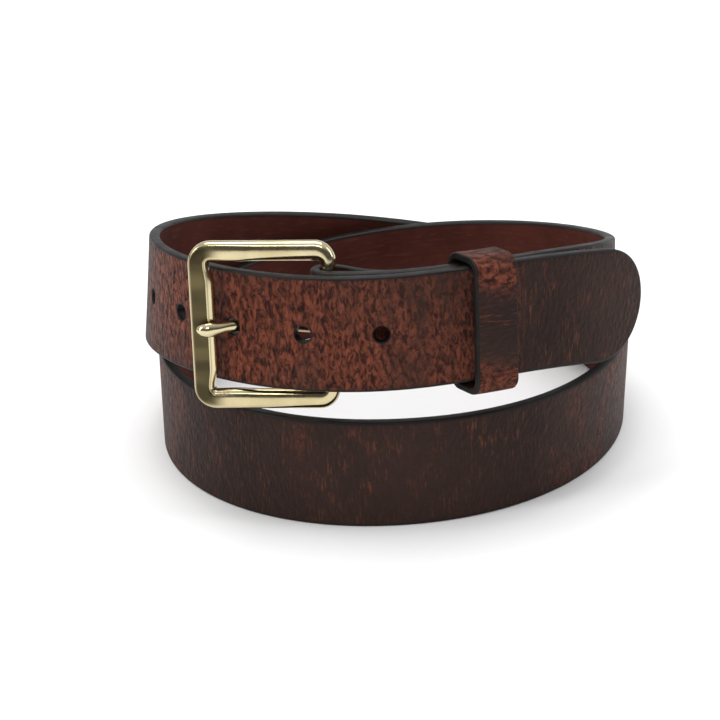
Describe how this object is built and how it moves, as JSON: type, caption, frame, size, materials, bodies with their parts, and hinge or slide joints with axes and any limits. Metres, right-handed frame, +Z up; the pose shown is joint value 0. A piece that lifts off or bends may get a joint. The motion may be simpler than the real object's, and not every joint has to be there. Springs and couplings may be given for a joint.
{
  "type": "belt",
  "caption": "Buckled leather strap belt coiled in two turns, with a square bar buckle and prong, a sliding leather keeper, punched holes and a rounded free end.",
  "frame": {"origin": "centre of the part's bounding box, on the surface the coil rests on", "axes": "+Z up, -Y towards the side with the buckle, +X towards the rounded free end"},
  "size_m": [0.1694, 0.1706, 0.0959],
  "materials": {
    "strap_leather": "waxed full-grain leather with burnished dark edges",
    "keeper_leather": "waxed leather band with dark edges",
    "buckle_brass": "polished cast brass with a satin front",
    "post_brass": "turned brass",
    "staple_steel": "flat steel wire"
  },
  "bodies": {
    "belt": {"strap": "strap_leather", "barrel_posts": "post_brass", "post_screws": "post_brass"},
    "buckle": {"buckle_frame": "buckle_brass"},
    "tongue": {"prong": "buckle_brass"},
    "loop": {"keeper": "keeper_leather", "keeper_staple": "staple_steel"}
  },
  "joints": [
    {"name": "buckle_hinge", "type": "hinge", "parent": "belt", "child": "buckle", "pos_m": [-0.01886, -0.06935, 0.06771], "axis": [0.0078, 0.1143, 0.9934], "range_deg": [0, 1.5]},
    {"name": "prong_hinge", "type": "hinge", "parent": "buckle", "child": "tongue", "pos_m": [-0.01886, -0.06935, 0.06771], "axis": [0.0078, 0.1143, 0.9934], "range_deg": [0, 1]},
    {"name": "keeper_slide", "type": "hinge", "parent": "belt", "child": "loop", "pos_m": [0.00102, -0.001, 0.06069], "axis": [0.0098, 0.1129, 0.9936], "range_deg": [-1.5, 1.5]}
  ]
}
